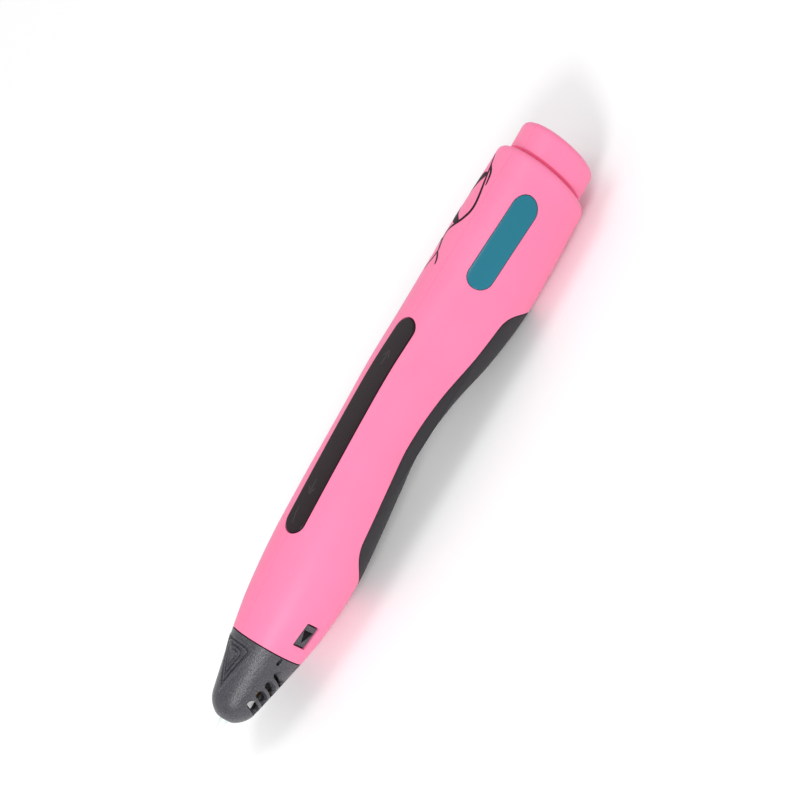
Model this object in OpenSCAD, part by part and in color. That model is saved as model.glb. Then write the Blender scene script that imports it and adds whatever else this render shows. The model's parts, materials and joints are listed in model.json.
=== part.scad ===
// Three d pen: a hand-held extruder with a rocker key, a display, a geared filament feeder and a nose
// module that pulls off. All lengths are millimetres and all angles are degrees. The pen is drawn with
// x running from the nozzle tip to the tail and z = 0 on the filament line, and place() then stands it
// in its own frame, centred on x and resting on z = 0.

/* [Body] */
// Distance from the nozzle tip to the highest point of the tail
overall_l = 180; // [179:0.5:182]
// Wall thickness of the two side shells
wall = 1.6; // [1.5:0.05:1.7]
// Wall thickness of the shells around the nose collar
mouth_wall = 1.0; // [0.9:0.05:1.1]
// Lean of the tail faces from square
tail_lean = 12.5; // [9.5:0.5:13]
// Radius of the narrower neck at the tail
neck_r = 11.3; // [11:0.1:11.5]

/* [Grip cover] */
// Thickness of the soft cover under the hand
cover_t = 1.9; // [1.7:0.1:2]
// Angle from the back of the pen to the cover's long edge
cover_edge = 93; // [91:1:96]
// Gap between the cover and the shells
cover_gap = 0.15; // [0.1:0.05:0.2]

/* [Feed key] */
// Length of the rocker key
key_l = 63.6; // [62:0.2:64]
// Width of the rocker key
key_w = 7.0; // [6.6:0.1:7.2]
// Gap around the rocker key
key_gap = 0.3; // [0.25:0.05:0.4]

/* [Display] */
// Length of the display window
lens_l = 26.6; // [26:0.2:27]
// Width of the display window
lens_w = 7.2; // [7:0.1:7.4]
// Angle from the back of the pen to the middle of the display
lens_angle = 45; // [43:1:47]

/* [Nose] */
// Radius of the nose where it meets the body
nose_r = 10.2; // [10.1:0.05:10.2]
// Half angle of the nose cone
nose_angle = 12.5; // [12:0.25:13]
// Radius of the nozzle's outlet
outlet_r = 0.35; // [0.2:0.05:0.4]
// Radius of the filament path
path_r = 1.1; // [1.05:0.05:1.15]
// Radius of the inlet that the filament is pushed into
inlet_r = 1.3; // [1.3:0.05:1.35]

/* [Feeder] */
// Distance from the nozzle tip to the drive shaft
drive_x = 118; // [117.5:0.25:118.5]
// Radius of the drive roller
roller_r = 3.05; // [2.9:0.05:3.1]
// Number of teeth on each bevel gear
gear_teeth = 12; // [12:2:14]
// Gap that the idler keeps from the drive roller
bite = 1.3; // [1.2:0.1:1.4]

/* [Hidden] */
$fn = 48;
// The body's sections: place along the pen, radius, and height of the centre above the filament line
SECTIONS = [
    [26, 10.2, 0], [36, 11.87, 0], [51, 12.97, 0.4], [66, 12.65, 1.5], [78, 12.1, 2.5], [90, 11.65, 3.3],
    [104, 12.4, 2.6], [119.5, 13.9, 0.1], [134, 14.7, -1.3], [148, 14.6, -1.5], [164, 13.98, -1.7],
    [172, 13.8, -1.7]
];
body_start = 26.2;
neck_centre = -1.7;
neck_end = overall_l - tan(tail_lean) * neck_r;
shoulder = neck_end - 9.3;
shoulder_r = radius_at(shoulder - 2.4);
tail_hole_r = 8.7;
ring_step = 4.5;
columns = 14;

cover_start = 48;
cover_full = 63;
cover_ease = 126;
cover_end = 138.5;

key_x = 87.1;
key_pivot_z = 10.3;
key_floor_z = 11;
post_x = 25;
board_top = 8.2;
board_t = 1.0;

lens_x = 146.8;
lens_turn = 3;

button_x = 33.85;
button_l = 6.2;
button_w = 4;
button_sink = 0.6;
window_gap = 0.2;

collar_r = 8.8;
collar_bore = 7.6;
collar_end = 34;
vent_w = 2.3;
vent_l = 7.8;
vent_first = 10.3;
vent_pitch = 3.38;
vent_angle = 107;

drive_y = -(roller_r + 0.85);
motor_z = -7;
motor_r = 4.7;
gear_r = 2.8;
gear_cone = 45;
shaft_r = 1.0;
run_gap = 0.04;
idler_r = 3.0;
idler_y = drive_y + roller_r + bite + idler_r;
pivot_at = [111.2, 5.9];
block_start = 109;
block_end = 124.4;
plate_low = -3.6;
plate_high = 4.6;
gearbox_start = 126.4;
gearbox_end = 137.4;
can_end = 156.5;

jack_z = -6.5;
contact_r = 5.0;
screw_places = [[48.5, 6.4], [130.4, 4.6], [163.5, -6]];

belly = max([for (x = [128:0.5:156]) radius_at(x) - centre_at(x)]);

// ---- curves of the body -------------------------------------------------------------------------

function section_before(x) =
    let (found = [for (k = [0:len(SECTIONS) - 2]) if (x >= SECTIONS[k][0]) k])
    len(found) == 0 ? 0 : found[len(found) - 1];

function slope(k, c) =
    let (a = max(k - 1, 0), b = min(k + 1, len(SECTIONS) - 1))
    (SECTIONS[b][c] - SECTIONS[a][c]) / (SECTIONS[b][0] - SECTIONS[a][0]);

// A smooth cubic through the sections
function along(x, c) =
    let (
        k = section_before(x),
        a = SECTIONS[k],
        b = SECTIONS[k + 1],
        h = b[0] - a[0],
        t = (x - a[0]) / h
    )
    a[c] * (2 * t ^ 3 - 3 * t ^ 2 + 1) + b[c] * (3 * t ^ 2 - 2 * t ^ 3)
    + h * (slope(k, c) * (t ^ 3 - 2 * t ^ 2 + t) + slope(k + 1, c) * (t ^ 3 - t ^ 2));

function radius_at(x) = along(x, 1);
function centre_at(x) = x > 164 ? neck_centre : along(x, 2);
function ease(t) = let (u = min(max(t, 0), 1)) u * u * (3 - 2 * u);
function wall_at(x) = mouth_wall + (wall - mouth_wall) * ease((x - 37) / 5);
function back_z(x) = centre_at(x) + radius_at(x);

// Angle from the back of the pen to the edge of the grip cover: 180 where there is no cover
function edge_at(x) =
    x <= cover_start || x >= cover_end ? 180
    : x < cover_full ? cover_edge + (180 - cover_edge) * ((cover_full - x) / (cover_full - cover_start)) ^ 2.4
    : x > cover_ease ? cover_edge + (180 - cover_edge) * ((x - cover_ease) / (cover_end - cover_ease)) ^ 3.5
    : cover_edge;

// A point of the skin on the left side, angle a from the back; rings lean more and more near the tail
function skin_point(x, r, a) =
    let (up = r * cos(a))
    [x + ease((x - 150) / 16) * tan(tail_lean) * up, -r * sin(a), centre_at(x) + up];

// Half the width of the body at a height, measured at some depth under its skin
function half_width(x, z, depth) = sqrt((radius_at(x) - depth) ^ 2 - (z - centre_at(x)) ^ 2);

// How far a round boss may reach sideways before its outer corner would come through the skin
function boss_reach(p, r) =
    let (up = p[1] > centre_at(p[0]) ? 1 : -1)
    half_width(p[0], p[1] + up * r, wall / 2);

// ---- shared builders ----------------------------------------------------------------------------

module place() {
    translate([-overall_l / 2, 0, belly])
        children();
}

// Turns a list of [x, radius] about the filament line
module turned(profile) {
    rotate([0, 90, 0])
        rotate_extrude()
            polygon([for (p = profile) [p[1], p[0]]]);
}

module rod_x(x0, x1, r, y = 0, z = 0) {
    translate([x0, y, z])
        rotate([0, 90, 0])
            cylinder(h = x1 - x0, r = r);
}

module rod_y(y0, y1, r, x = 0, z = 0) {
    translate([x, y1, z])
        rotate([90, 0, 0])
            cylinder(h = y1 - y0, r = r);
}

module rod_z(z0, z1, r, x = 0, y = 0) {
    translate([x, y, z0])
        cylinder(h = z1 - z0, r = r);
}

module block(low, high) {
    translate(low)
        cube(high - low);
}

// A flat shape with two straight sides and two round ends, long along x
module slot_2d(l, w) {
    square([l - w, w], center = true);
    for (s = [-1, 1])
        translate([s * (l - w) / 2, 0])
            circle(r = w / 2);
}

// A closed skin between two grids of points with equal counts
module skin(outer, inner) {
    last = len(outer) - 1;
    side = len(outer[0]) - 1;
    half = (last + 1) * (side + 1);
    function o(i, j) = i * (side + 1) + j;
    function n(i, j) = half + o(i, j);
    function quad(a, b, c, d) = [[a, b, c], [a, c, d]];
    faces = concat(
        [
            for (i = [0:last - 1]) for (j = [0:side - 1])
                each quad(o(i, j), o(i + 1, j), o(i + 1, j + 1), o(i, j + 1))
        ],
        [
            for (i = [0:last - 1]) for (j = [0:side - 1])
                each quad(n(i, j), n(i, j + 1), n(i + 1, j + 1), n(i + 1, j))
        ],
        [for (j = [0:side - 1]) each quad(o(0, j), o(0, j + 1), n(0, j + 1), n(0, j))],
        [for (j = [0:side - 1]) each quad(o(last, j), n(last, j), n(last, j + 1), o(last, j + 1))],
        [for (i = [0:last - 1]) each quad(o(i, 0), n(i, 0), n(i + 1, 0), o(i + 1, 0))],
        [for (i = [0:last - 1]) each quad(o(i, side), o(i + 1, side), n(i + 1, side), n(i, side))]
    );
    polyhedron(points = concat([for (g = outer) each g], [for (g = inner) each g]), faces = faces);
}

function unit(v) = v / norm(v);

// A round wire along a list of points; up is any direction that the wire never runs along
module wire(path, r, up = [0, 0, 1], sides = 8) {
    last = len(path) - 1;
    points = [
        for (i = [0:last])
            let (
                t = unit(path[min(i + 1, last)] - path[max(i - 1, 0)]),
                a = unit(cross(t, up)),
                b = cross(a, t)
            )
            for (k = [0:sides - 1])
                path[i] + r * (cos(k * 360 / sides) * a + sin(k * 360 / sides) * b)
    ];
    faces = concat(
        [[for (k = [sides - 1:-1:0]) k]],
        [for (i = [0:last - 1]) for (k = [0:sides - 1])
            each [
                [i * sides + k, i * sides + (k + 1) % sides, (i + 1) * sides + (k + 1) % sides],
                [i * sides + k, (i + 1) * sides + (k + 1) % sides, (i + 1) * sides + k]
            ]],
        [[for (k = [0:sides - 1]) last * sides + k]]
    );
    polyhedron(points = points, faces = faces);
}

// A coil standing on z = 0
module coil(r, wire_r, turns, height) {
    steps = 10;
    rise = (height - 2 * wire_r) / (turns * steps);
    wire(
        [for (i = [0:turns * steps]) [r * cos(i * 360 / steps), r * sin(i * 360 / steps), wire_r + rise * i]],
        wire_r,
        sides = 6
    );
}

// ---- shells and covers --------------------------------------------------------------------------

// Places along the pen where the shell's skin has a ring, closer together at the cover's ends
shell_x = concat(
    [body_start],
    [for (x = [30:4:46]) x],
    [for (i = [0:8]) cover_start + (cover_full - cover_start) * (i / 8) ^ 1.5],
    [for (i = [1:14]) cover_full + (cover_ease - cover_full) * i / 14],
    [for (i = [7:-1:0]) cover_end - (cover_end - cover_ease) * (i / 8) ^ 1.5],
    [for (i = [1:6]) cover_end + (shoulder - 2.4 - cover_end) * i / 6]
);

// The tail end of the skin: [outer x, outer radius, inner x, inner radius]
tail_rings = [
    [shoulder - 0.6, shoulder_r - 0.5, shoulder - 1.9, shoulder_r - wall - 0.1],
    [shoulder, shoulder_r - 2, shoulder - 1.7, shoulder_r - wall - 1.3],
    [shoulder + 0.05, neck_r, shoulder - 1.6, neck_r - wall],
    [neck_end - 2.7, neck_r, neck_end - 2.7, neck_r - wall],
    [neck_end - 0.8, neck_r - 0.7, neck_end - 1.9, neck_r - wall - 0.05],
    [neck_end, neck_r - 2.1, neck_end - 1.7, tail_hole_r],
    [neck_end, tail_hole_r, neck_end - 1.6, tail_hole_r]
];

module half_skin() {
    outer = concat(
        [for (x = shell_x) [for (j = [0:columns]) skin_point(x, radius_at(x), edge_at(x) * j / columns)]],
        [for (t = tail_rings) [for (j = [0:columns]) skin_point(t[0], t[1], 180 * j / columns)]]
    );
    inner = concat(
        [for (x = shell_x)
            [for (j = [0:columns]) skin_point(x, radius_at(x) - wall_at(x), edge_at(x) * j / columns)]],
        [for (t = tail_rings) [for (j = [0:columns]) skin_point(t[2], t[3], 180 * j / columns)]]
    );
    skin(outer, inner);
}

// What both halves share: openings for the key and the release button, and ledges for the board
module half_case() {
    difference() {
        union() {
            half_skin();
            for (x = [55, 112])
                block(
                    [x, -half_width(x, board_top - board_t, wall / 2), board_top - board_t - 1.2],
                    [x + 4, -5.4, board_top - board_t - 0.02]
                );
        }
        translate([key_x, 0, key_floor_z - 1])
            linear_extrude(6)
                slot_2d(key_l + 2 * key_gap, key_w + 2 * key_gap);
        block(
            [button_x - button_l / 2 - window_gap, -14, -button_w / 2 - window_gap],
            [button_x + button_l / 2 + window_gap, -8, button_w / 2 + window_gap]
        );
    }
}

module display_frame() {
    translate([lens_x, 0, centre_at(lens_x)])
        rotate([lens_angle, 0, 0])
            rotate([0, atan2(radius_at(lens_x - 10) - radius_at(lens_x + 10), 20), 0])
                children();
}

module left_shell() {
    color("hotpink")
        place()
            difference() {
                union() {
                    half_case();
                    for (p = screw_places)
                        rod_y(-boss_reach(p, 2.3), -0.02, 2.3, p[0], p[1]);
                }
                for (p = screw_places)
                    rod_y(-6, 1, 0.8, p[0], p[1]);
                display_frame()
                    linear_extrude(30)
                        rotate(-lens_turn)
                            slot_2d(lens_l + 0.2, lens_w + 0.2);
            }
}

module right_shell() {
    color("hotpink")
        place()
            difference() {
                union() {
                    mirror([0, 1, 0])
                        half_case();
                    for (p = screw_places)
                        rod_y(0.02, boss_reach(p, 2.5), 2.5, p[0], p[1]);
                }
                for (p = screw_places) {
                    rod_y(-1, 9, 1.1, p[0], p[1]);
                    rod_y(6, 20, 1.95, p[0], p[1]);
                }
            }
}

module case_screws() {
    color("silver")
        place()
            for (p = screw_places)
                translate([p[0], 0, p[1]])
                    difference() {
                        union() {
                            rod_y(-5, 6.4, 0.78);
                            rod_y(6.02, 7.4, 1.7);
                        }
                        rotate([-90, 0, 0])
                            translate([0, 0, 6.8])
                                cylinder(h = 1, r = 0.8, $fn = 6);
                    }
}

module grip_cover() {
    first = cover_start + 0.3;
    last = cover_end - 0.15;
    xs = concat(
        [for (i = [0:7]) first + (cover_full - first) * (i / 7) ^ 1.5],
        [for (i = [1:13]) cover_full + (cover_ease - cover_full) * i / 13],
        [for (i = [6:-1:0]) last - (last - cover_ease) * (i / 7) ^ 1.5]
    );
    cols = 16;
    function start_angle(x) = min(edge_at(x) + cover_gap / radius_at(x) * 180 / PI, 178.5);
    function grid(depth) = [
        for (x = xs)
            [for (j = [0:cols])
                let (a = start_angle(x) + 2 * (180 - start_angle(x)) * j / cols)
                skin_point(x, radius_at(x) - depth, a)]
    ];
    color([0.22, 0.22, 0.24])
        place()
            skin(grid(0), grid(cover_t));
}

// ---- rocker key and board -----------------------------------------------------------------------

module feed_key() {
    steps = 16;
    start = key_x - key_l / 2;
    crown = [for (i = [0:steps]) let (x = start + key_l * i / steps) [x, back_z(x)]];
    side = concat([[start, key_floor_z]], crown, [[start + key_l, key_floor_z]]);
    color([0.2, 0.2, 0.22])
        place()
            difference() {
                union() {
                    difference() {
                        intersection() {
                            translate([0, key_w, 0])
                                rotate([90, 0, 0])
                                    linear_extrude(2 * key_w)
                                        polygon(side);
                            translate([key_x, 0, 0])
                                linear_extrude(30)
                                    slot_2d(key_l, key_w);
                        }
                        block(
                            [key_x - 2.6, -key_w, key_floor_z - 1],
                            [key_x + 2.6, key_w, key_floor_z + 0.9]
                        );
                    }
                    block([key_x - 1.8, -2.4, key_pivot_z - 1.4], [key_x + 1.8, 2.4, key_floor_z + 1.2]);
                    for (s = [-1, 1])
                        rod_z(board_top + 1.35, key_floor_z + 0.5, 1.1, key_x + s * post_x);
                }
                rod_y(-4, 4, 0.75 + run_gap, key_x, key_pivot_z);
            }
}

module key_pin() {
    color("silver")
        place()
            rod_y(-4.3, 4.3, 0.75, key_x, key_pivot_z);
}

module key_carrier() {
    color("gray")
        place()
            difference() {
                union() {
                    block([key_x - 4, -4.4, board_top + 0.02], [key_x + 4, 4.4, board_top + 0.5]);
                    for (s = [-1, 1])
                        block(
                            [key_x - 1.8, s * 3.5 - 0.9, board_top + 0.3],
                            [key_x + 1.8, s * 3.5 + 0.9, key_pivot_z + 1.2]
                        );
                }
                rod_y(-6, 6, 0.76, key_x, key_pivot_z);
            }
}

module switch_dome(x) {
    color("whitesmoke")
        place()
            translate([x, 0, board_top + 0.02])
                rotate_extrude()
                    polygon([[0, 0], [2.4, 0], [2.4, 0.35], [1.5, 1.0], [1.3, 1.25], [0, 1.25]]);
}

module feed_dome() {
    switch_dome(key_x - post_x);
}

module retract_dome() {
    switch_dome(key_x + post_x);
}

module main_board() {
    color("seagreen")
        place()
            difference() {
                block([52, -6.2, board_top - board_t], [122, 6.2, board_top]);
                for (x = [54, 120])
                    rod_z(board_top - 2, board_top + 1, 0.9, x, 0);
            }
}

// Controller, motor driver, header and a row of small parts under the board
module board_parts() {
    under = board_top - board_t - 0.02;
    color([0.12, 0.12, 0.13])
        place() {
            block([72, -3.5, under - 1], [79, 3.5, under]);
            block([86, -2.5, under - 1.2], [91, 2.5, under]);
            block([97, -3, under - 2.2], [105, 0.5, under]);
            for (i = [0:6])
                block([58 + i * 1.9, 3.6, under - 0.6], [59 + i * 1.9, 5.4, under]);
        }
}

// ---- display ------------------------------------------------------------------------------------

module display_lens() {
    outer = radius_at(lens_x);
    color([0.18, 0.5, 0.6])
        place()
            display_frame() {
                intersection() {
                    linear_extrude(30)
                        rotate(-lens_turn)
                            slot_2d(lens_l, lens_w);
                    rod_x(-20, 20, outer);
                    block([-20, -10, outer - wall - 1.05], [20, 10, 20]);
                }
                translate([0, 0, outer - wall - 1.8])
                    linear_extrude(0.8)
                        rotate(-lens_turn)
                            slot_2d(lens_l + 1.6, lens_w + 0.8);
            }
}

module display_glass() {
    color([0.1, 0.12, 0.14])
        place()
            display_frame()
                translate([0, 0, radius_at(lens_x) - 4.7])
                    linear_extrude(1.2)
                        square([25.4, 8.6], center = true);
}

module display_board() {
    color("seagreen")
        place()
            display_frame()
                translate([0, 0, radius_at(lens_x) - 5.6])
                    linear_extrude(0.8)
                        square([26.4, 9.2], center = true);
}

// ---- filament path ------------------------------------------------------------------------------

module contact_socket() {
    color("gray")
        place()
            difference() {
                turned([
                    [29.5, 0], [29.5, 7], [41, 7], [41, 10.5], [43, 10.5], [43, 8], [44.5, 8], [44.5, 0]
                ]);
                turned([[29, 0], [29, 2.6], [31, path_r], [40.5, path_r], [40.5, 2.05], [46, 2.05], [46, 0]]);
                for (a = [45:90:315])
                    rod_x(29, 36, 0.52, contact_r * cos(a), contact_r * sin(a));
                for (s = [-1, 1])
                    translate([button_x, s * 8, 0])
                        cube([5, 3.6, 4.4], center = true);
            }
}

module feed_tube() {
    color("white")
        place()
            difference() {
                rod_x(40.6, block_start + 1.5, 2);
                rod_x(40, block_start + 2, path_r - 0.05);
            }
}

module rear_tube() {
    color("white")
        place()
            difference() {
                rod_x(block_end - 1.4, neck_end - 5.6, 1.7);
                rod_x(block_end - 2, neck_end - 5, path_r - 0.05);
            }
}

module inlet_bush() {
    mouth = neck_end + 0.9;
    color("goldenrod")
        place()
            difference() {
                turned([
                    [neck_end - 8, 0], [neck_end - 8, 2.7], [neck_end - 3.4, 2.7], [neck_end - 3.4, 2.4],
                    [mouth, 2.4], [mouth, 0]
                ]);
                rod_x(neck_end - 9, mouth + 1, inlet_r);
                turned([
                    [mouth - 0.9, 0], [mouth - 0.9, inlet_r], [mouth + 0.01, 2], [mouth + 1, 2], [mouth + 1, 0]
                ]);
                rod_x(neck_end - 9, neck_end - 5.5, 1.75);
            }
}

module tail_plate() {
    color([0.2, 0.2, 0.22])
        place()
            difference() {
                translate([neck_end - 0.5, 0, neck_centre])
                    rotate([0, tail_lean, 0]) {
                        rod_x(-2.1, 0, tail_hole_r - 0.15);
                        rod_x(-2.1, -1.5, tail_hole_r + 0.6);
                    }
                rod_x(neck_end - 9, neck_end + 9, 2.43);
                rod_x(neck_end - 9, neck_end + 9, 3, 0, jack_z);
            }
}

module power_jack() {
    color([0.12, 0.12, 0.13])
        place()
            difference() {
                union() {
                    block([166.6, -4.2, jack_z - 3.3], [neck_end - 5, 4.2, jack_z + 3.3]);
                    rod_x(neck_end - 5, neck_end - 2.2, 2.95, 0, jack_z);
                }
                rod_x(168.6, neck_end, 2.75, 0, jack_z);
            }
}

module jack_pin() {
    color("gold")
        place() {
            rod_x(168.62, neck_end - 3, 0.95, 0, jack_z);
        }
}

// ---- feeder -------------------------------------------------------------------------------------

module feeder_block() {
    color("gray")
        place()
            difference() {
                union() {
                    block([block_start, -8, plate_low], [block_end, 8, plate_low + 1.2]);
                    block([block_start, -8, plate_high - 1.2], [block_end, 8, plate_high]);
                    block([block_start, -3.4, plate_low + 1], [112.4, 3.4, plate_high - 1]);
                    block([122.6, -5.4, plate_low + 1], [block_end, 4.4, plate_high - 1]);
                    rod_z(plate_low + 1, plate_high - 1, 1.2, 110.8, -6.4);
                    rod_z(plate_low + 1, plate_high - 1, 1.2, 122.9, 6.6);
                }
                rod_x(block_start - 1, block_end + 1, path_r);
                rod_x(block_start - 1, block_start + 1.6, 2.05);
                rod_x(block_end - 1.5, block_end + 1, 1.75);
                rod_z(plate_low - 1, plate_high + 1, shaft_r + run_gap, drive_x, drive_y);
                rod_z(plate_low - 1, plate_high + 1, shaft_r + 0.01, pivot_at[0], pivot_at[1]);
                rod_x(122, block_end + 1, 0.62, -4.5, 1.2);
                rod_x(122, block_end + 1, 0.62, 3.4, 2.4);
            }
}

// One gear of the pair, with its apex at the origin and its teeth opening along +z
module bevel_wheel(phase) {
    far = gear_r / sin(gear_cone);
    near = 0.58 * far;
    root = gear_cone - 7;
    tip = gear_cone + 4.5;
    half_root = 82 / gear_teeth;
    half_tip = 36 / gear_teeth;
    function at(l, p, a) = [l * sin(p) * cos(a), l * sin(p) * sin(a), l * cos(p)];
    difference() {
        union() {
            translate([0, 0, near * cos(root)])
                cylinder(h = (far - near) * cos(root), r1 = near * sin(root), r2 = far * sin(root));
            for (k = [0:gear_teeth - 1])
                rotate(phase + k * 360 / gear_teeth)
                    polyhedron(
                        points = [
                            at(near, root - 2, -half_root), at(near, root - 2, half_root),
                            at(near, tip, half_tip), at(near, tip, -half_tip),
                            at(far, root - 2, -half_root), at(far, root - 2, half_root),
                            at(far, tip, half_tip), at(far, tip, -half_tip)
                        ],
                        faces = [
                            [3, 2, 1, 0], [4, 5, 6, 7], [1, 5, 4, 0], [2, 6, 5, 1], [3, 7, 6, 2], [0, 4, 7, 3]
                        ]
                    );
        }
        cylinder(h = 20, r = shaft_r, center = true);
    }
}

module drive_shaft() {
    color("silver")
        place()
            rod_z(motor_z + 1.7, plate_high - 0.1, shaft_r, drive_x, drive_y);
}

module bevel_gear() {
    color("goldenrod")
        place()
            translate([drive_x, drive_y, motor_z])
                bevel_wheel(0);
}

module drive_roller() {
    flutes = 24;
    color("silver")
        place()
            translate([drive_x, drive_y, 0])
                difference() {
                    rotate_extrude()
                        polygon([
                            [shaft_r, -1.9], [roller_r, -1.9], [roller_r, -0.9], [roller_r - 0.25, -0.4],
                            [roller_r - 0.25, 0.4], [roller_r, 0.9], [roller_r, 1.9], [shaft_r, 1.9]
                        ]);
                    for (k = [0:flutes - 1])
                        rotate(k * 360 / flutes)
                            rod_z(-2, 2, 0.16, roller_r);
                }
}

module idler_lever() {
    arm = [drive_x + 2.6, pivot_at[1] - 1.4];
    color("dimgray")
        place()
            difference() {
                union() {
                    rod_z(1.9, 3.1, 2, pivot_at[0], pivot_at[1]);
                    rod_z(1.9, 3.1, 1.9, drive_x, idler_y);
                    for (e = [[pivot_at, [drive_x, idler_y]], [[drive_x, idler_y], arm]])
                        let (run = e[1] - e[0])
                        translate([e[0][0], e[0][1], 2.5])
                            rotate(atan2(run[1], run[0]))
                                translate([norm(run) / 2, 0, 0])
                                    cube([norm(run), 2.6, 1.2], center = true);
                }
                rod_z(0, 4, shaft_r + run_gap, pivot_at[0], pivot_at[1]);
                rod_z(0, 4, shaft_r - 0.02, drive_x, idler_y);
            }
}

module idler_axle() {
    color("silver")
        place() {
            rod_z(-1.9, 3.1, shaft_r - 0.02, drive_x, idler_y);
            rod_z(-2.25, -1.75, 1.6, drive_x, idler_y);
        }
}

module idler_bearing() {
    color("silver")
        place()
            translate([drive_x, idler_y, 0])
                rotate_extrude()
                    polygon([
                        [shaft_r + 0.03, -1.5], [1.6, -1.5], [1.7, -1.35], [2.4, -1.35], [2.5, -1.5], [2.9, -1.5],
                        [idler_r, -1.4], [idler_r, 1.4], [2.9, 1.5], [2.5, 1.5], [2.4, 1.35], [1.7, 1.35],
                        [1.6, 1.5], [shaft_r + 0.03, 1.5]
                    ]);
}

module idler_pivot_pin() {
    color("silver")
        place()
            rod_z(plate_low, plate_high, shaft_r, pivot_at[0], pivot_at[1]);
}

module idler_spring() {
    color("silver")
        place()
            translate([pivot_at[0], pivot_at[1], plate_low + 1.25])
                coil(1.5, 0.22, 4, 3.4);
}

module motor_bracket() {
    color("silver")
        place()
            difference() {
                union() {
                    rod_x(block_end + 0.02, gearbox_start - 0.02, motor_r, drive_y, motor_z);
                    block([block_end + 0.02, -6.4, motor_z], [gearbox_start - 0.02, 5, 3.8]);
                }
                rod_x(block_end - 1, gearbox_start + 1, 1.4, drive_y, motor_z);
                rod_x(block_end - 1, gearbox_start + 1, 1.8);
                rod_x(block_end - 1, gearbox_start + 1, 0.7, -4.5, 1.2);
                rod_x(block_end - 1, gearbox_start + 1, 0.7, 3.4, 2.4);
            }
}

module bracket_screws() {
    color("silver")
        place()
            for (p = [[-4.5, 1.2], [3.4, 2.4]]) {
                rod_x(122.9, gearbox_start, 0.6, p[0], p[1]);
                rod_x(gearbox_start, gearbox_start + 0.9, 1.2, p[0], p[1]);
            }
}

module gearbox() {
    color("goldenrod")
        place()
            difference() {
                rod_x(gearbox_start, gearbox_end, motor_r, drive_y, motor_z);
                rod_x(gearbox_start - 1, gearbox_start + 5, shaft_r + run_gap, drive_y, motor_z);
                for (x = [gearbox_start + 3.6, gearbox_start + 7.2])
                    translate([x, drive_y, motor_z])
                        rotate([0, 90, 0])
                            difference() {
                                cylinder(h = 0.4, r = motor_r + 1);
                                cylinder(h = 2, r = motor_r - 0.25, center = true);
                            }
            }
}

module motor_can() {
    color("silver")
        place()
            rod_x(gearbox_end + 0.02, can_end, motor_r - 0.1, drive_y, motor_z);
}

module motor_cap() {
    color([0.12, 0.12, 0.13])
        place() {
            rod_x(can_end + 0.02, can_end + 1.4, motor_r - 0.5, drive_y, motor_z);
            rod_x(can_end + 1.3, can_end + 2.2, 1.6, drive_y, motor_z);
            for (s = [-1, 1])
                translate([can_end + 2.3, drive_y + s * 2.8, motor_z])
                    cube([2.4, 0.4, 1.4], center = true);
        }
}

module output_shaft() {
    color("silver")
        place()
            rod_x(drive_x + 1.8, gearbox_start + 4.8, shaft_r, drive_y, motor_z);
}

module bevel_pinion() {
    color("goldenrod")
        place()
            translate([drive_x, drive_y, motor_z])
                rotate([0, 90, 0])
                    bevel_wheel(180 / gear_teeth);
}

// ---- release buttons ----------------------------------------------------------------------------

module release_button() {
    start = button_x - button_l / 2;
    stop = button_x + button_l / 2;
    foot = 9.0;
    difference() {
        union() {
            translate([0, 0, -button_w / 2])
                linear_extrude(button_w)
                    polygon([
                        [start, foot], [start, radius_at(start) - button_sink],
                        [stop, radius_at(stop) - button_sink], [stop, foot]
                    ]);
            block(
                [start - 0.6, foot - 0.1, -button_w / 2 - 0.7],
                [stop + 0.6, foot + 0.25, button_w / 2 + 0.7]
            );
        }
        translate([button_x, radius_at(button_x) - button_sink - 0.5, 0])
            rotate([-90, 0, 0])
                linear_extrude(4)
                    polygon([[-1.4, 0], [1, -1.2], [1, 1.2]]);
    }
}

module left_release_button() {
    color([0.3, 0.3, 0.33])
        place()
            mirror([0, 1, 0])
                release_button();
}

module right_release_button() {
    color([0.3, 0.3, 0.33])
        place()
            release_button();
}

module release_spring() {
    translate([button_x, 6.25, 0])
        rotate([-90, 0, 0])
            coil(1.2, 0.2, 3, 2.6);
}

module left_release_spring() {
    color("silver")
        place()
            mirror([0, 1, 0])
                release_spring();
}

module right_release_spring() {
    color("silver")
        place()
            release_spring();
}

// ---- wiring -------------------------------------------------------------------------------------

module motor_leads() {
    color("red")
        place()
            for (s = [0, 1])
                wire(
                    [
                        [can_end + 3.2, drive_y + 2.8 - 5.6 * s, motor_z + 1.1], [can_end + 3.2, 1.5 - s, -3.4],
                        [can_end + 1, 4.4 - s, -1.6], [150, 6.4 - s, 0], [140, 7.4 - s, 4], [134, 6.6 - s, 8.4],
                        [128, 5.4 - s, 9.6], [122.5, 5 - s, 9.2], [120, 5 - s, 8.8]
                    ],
                    0.32
                );
}

module power_leads() {
    color("black")
        place()
            for (s = [0, 1])
                wire(
                    [
                        [167.3, 2.2 + 1.4 * s, -2.9], [165.1, 3.8 + 1.4 * s, -1.4], [160, 6.2 + 1.2 * s, 1],
                        [150, 7 + 1.2 * s, 3.6], [141, 6 + 1.2 * s, 7.6], [134, 3 + 1.2 * s, 9.6],
                        [126, 1.6 + 1.2 * s, 9.8], [122, 1.6 + 1.2 * s, 9.2], [119.4, 1.6 + 1.2 * s, 8.8]
                    ],
                    0.4
                );
}

module nose_leads() {
    color("firebrick")
        place()
            for (s = [-1, 1])
                for (k = [0, 1])
                    wire(
                        [
                            [45, s * (3 + k), 3.5], [47, s * (5.8 + k), 1.6], [51, s * (6.4 + k), 1.4],
                            [55, s * (5 + k), 3.6], [58, s * (3.4 + k), 6.2]
                        ],
                        0.35
                    );
}

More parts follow.
